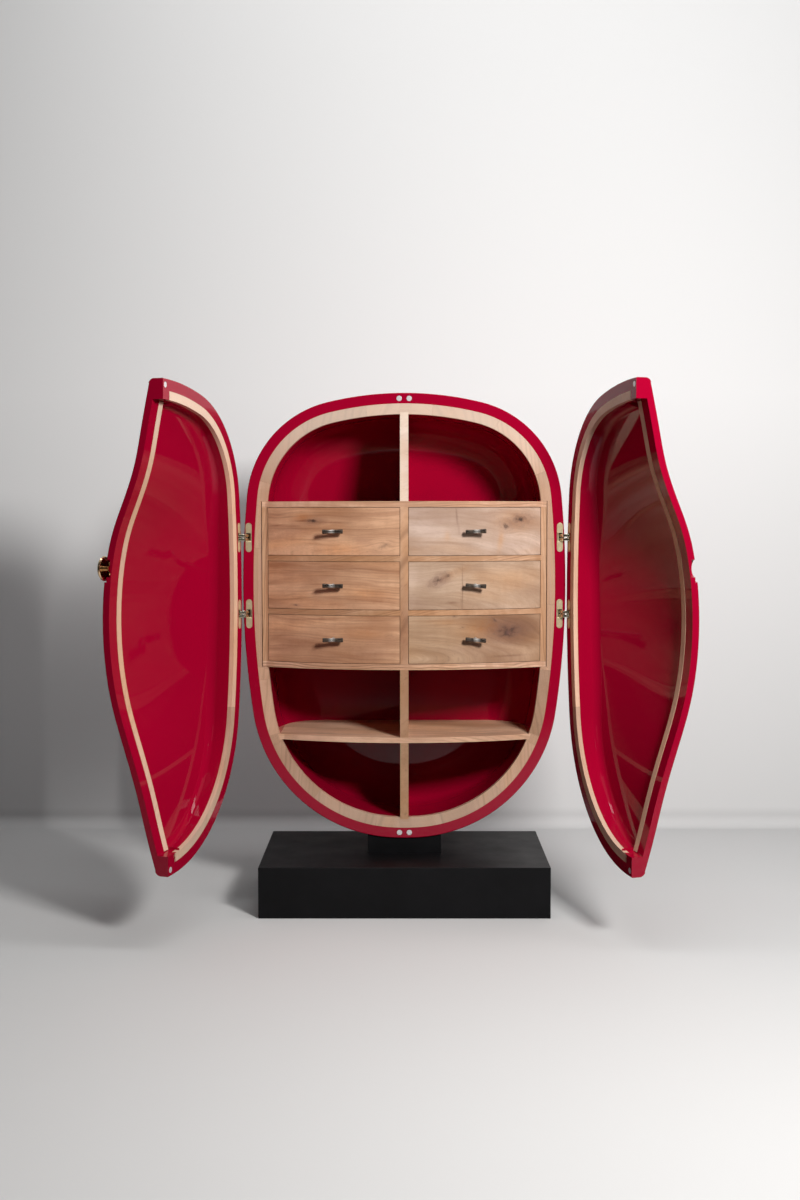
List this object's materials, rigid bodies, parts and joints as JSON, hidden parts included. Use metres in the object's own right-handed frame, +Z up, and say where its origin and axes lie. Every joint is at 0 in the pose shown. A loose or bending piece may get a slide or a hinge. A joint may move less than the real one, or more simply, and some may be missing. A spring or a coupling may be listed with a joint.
{
  "type": "cupboard",
  "caption": "Tall egg-shaped cupboard on a black plinth: glossy crimson shell, two bell-domed doors standing open, bowed timber drawers with bar pulls, open bays and a shelf.",
  "frame": {"origin": "on the floor under the body's centre plane, at the depth of the rim plane, inside the plinth's footprint", "axes": "+X to the right seen from the front, +Y from the front rim to the back, +Z up"},
  "size_m": [1.6962, 0.8184, 1.608],
  "materials": {
    "red_gloss": "high gloss crimson lacquer",
    "case_wood": "satin oiled, light brown with dark knots",
    "ring_wood": "satin oiled, short cross-grain segments",
    "brass": "polished",
    "magnet": "polished nickel",
    "dark_bronze": "dark patinated, satin",
    "black_steel": "matt black"
  },
  "bodies": {
    "carcass": {"shell": "red_gloss", "timber_ring": "ring_wood", "shelf": "case_wood", "divider_upper": "case_wood", "divider_middle": "case_wood", "divider_lower": "case_wood", "case_top": "case_wood", "case_bottom": "case_wood", "case_side_left": "case_wood", "case_side_right": "case_wood", "case_partition": "case_wood", "case_back": "case_wood", "case_rail_1_left": "case_wood", "case_rail_1_right": "case_wood", "case_rail_2_left": "case_wood", "case_rail_2_right": "case_wood", "rim_magnets": "magnet", "carcass_leaves_left": "brass", "carcass_leaves_right": "brass", "plinth_case": "black_steel", "plinth_floor": "black_steel", "neck": "black_steel"},
    "door_left": {"door_left_shell": "red_gloss", "door_left_ring": "ring_wood", "door_left_strip": "ring_wood", "door_left_magnets": "magnet", "door_left_leaves": "brass", "knob_disc": "brass", "knob_stem": "brass"},
    "door_right": {"door_right_shell": "red_gloss", "door_right_ring": "ring_wood", "door_right_strip": "ring_wood", "door_right_magnets": "magnet", "door_right_leaves": "brass"},
    "hinge_links_left": {"hinge_links_left": "brass"},
    "hinge_links_right": {"hinge_links_right": "brass"},
    "drawer_left_1": {"drawer_left_1_front": "case_wood", "drawer_left_1_tray": "case_wood", "drawer_left_1_pull": "dark_bronze"},
    "drawer_right_1": {"drawer_right_1_front": "case_wood", "drawer_right_1_tray": "case_wood", "drawer_right_1_pull": "dark_bronze"},
    "drawer_left_2": {"drawer_left_2_front": "case_wood", "drawer_left_2_tray": "case_wood", "drawer_left_2_pull": "dark_bronze"},
    "drawer_right_2": {"drawer_right_2_front": "case_wood", "drawer_right_2_tray": "case_wood", "drawer_right_2_pull": "dark_bronze"},
    "drawer_left_3": {"drawer_left_3_front": "case_wood", "drawer_left_3_tray": "case_wood", "drawer_left_3_pull": "dark_bronze"},
    "drawer_right_3": {"drawer_right_3_front": "case_wood", "drawer_right_3_tray": "case_wood", "drawer_right_3_pull": "dark_bronze"}
  },
  "joints": [
    {"name": "door_left_swing", "type": "hinge", "parent": "carcass", "child": "door_left", "pos_m": [-0.5065, -0.00075, 1.04], "axis": [0, 0, -1], "range_deg": [-108.4, 3.6]},
    {"name": "door_right_swing", "type": "hinge", "parent": "carcass", "child": "door_right", "pos_m": [0.5065, -0.00075, 1.04], "axis": [0, 0, 1], "range_deg": [-105.2, 6.8]},
    {"name": "hinge_links_left_turn", "type": "hinge", "parent": "carcass", "child": "hinge_links_left", "pos_m": [-0.5065, -0.00075, 1.04], "axis": [0, 0, -1], "range_deg": [-54.2, 1.8]},
    {"name": "hinge_links_right_turn", "type": "hinge", "parent": "carcass", "child": "hinge_links_right", "pos_m": [0.5065, -0.00075, 1.04], "axis": [0, 0, 1], "range_deg": [-52.6, 3.4]},
    {"name": "drawer_left_1_slide", "type": "slide", "parent": "carcass", "child": "drawer_left_1", "axis": [0, -1, 0], "range_m": [0, 0.2]},
    {"name": "drawer_right_1_slide", "type": "slide", "parent": "carcass", "child": "drawer_right_1", "axis": [0, -1, 0], "range_m": [0, 0.2]},
    {"name": "drawer_left_2_slide", "type": "slide", "parent": "carcass", "child": "drawer_left_2", "axis": [0, -1, 0], "range_m": [0, 0.2]},
    {"name": "drawer_right_2_slide", "type": "slide", "parent": "carcass", "child": "drawer_right_2", "axis": [0, -1, 0], "range_m": [0, 0.2]},
    {"name": "drawer_left_3_slide", "type": "slide", "parent": "carcass", "child": "drawer_left_3", "axis": [0, -1, 0], "range_m": [0, 0.2]},
    {"name": "drawer_right_3_slide", "type": "slide", "parent": "carcass", "child": "drawer_right_3", "axis": [0, -1, 0], "range_m": [0, 0.2]}
  ],
  "couplings": [
    {"joint": "hinge_links_left_turn", "follows": "door_left_swing", "ratio": 0.5},
    {"joint": "hinge_links_right_turn", "follows": "door_right_swing", "ratio": 0.5}
  ]
}
